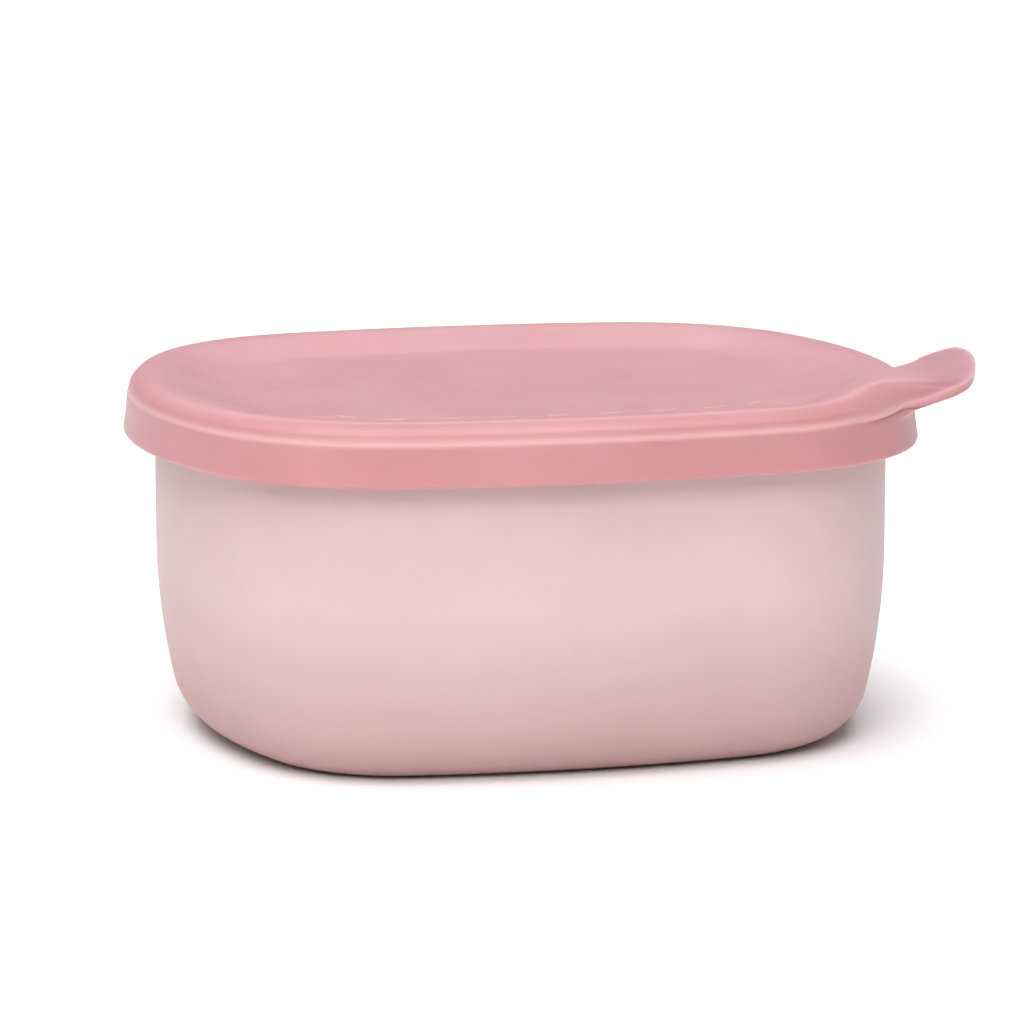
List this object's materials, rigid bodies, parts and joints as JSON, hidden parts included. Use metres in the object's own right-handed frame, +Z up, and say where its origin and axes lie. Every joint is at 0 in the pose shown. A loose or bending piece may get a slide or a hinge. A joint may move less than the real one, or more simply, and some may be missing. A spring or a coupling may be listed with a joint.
{
  "type": "food storage tub with press-on lid",
  "caption": "Rounded rectangular storage tub with a soft press-on lid: recessed stacking panel, gripping skirt and a flexing corner pull tab.",
  "frame": {"origin": "centre of the tub's flat foot, on the surface it stands on", "axes": "+X along the long side of the tub, +Y towards the back so that the pull tab is at the +X, -Y corner, +Z up through the lid"},
  "size_m": [0.1914, 0.16, 0.0892],
  "materials": {
    "tub_silicone": "satin, opaque pale pink",
    "lid_silicone": "satin, slightly translucent pink"
  },
  "bodies": {
    "tub": {"tub": "tub_silicone"},
    "lid": {"lid": "lid_silicone"},
    "pull_tab": {"pull_tab": "lid_silicone"}
  },
  "joints": [
    {"name": "lid_lift", "type": "slide", "parent": "tub", "child": "lid", "axis": [0, 0, 1], "range_m": [0, 0.1]},
    {"name": "tab_flex", "type": "hinge", "parent": "lid", "child": "pull_tab", "pos_m": [0.08744, -0.04147, 0.083], "axis": [-0.3387, -0.9305, -0.1392], "range_deg": [-30, 70], "stiffness_Nm_per_rad": 0.02}
  ]
}
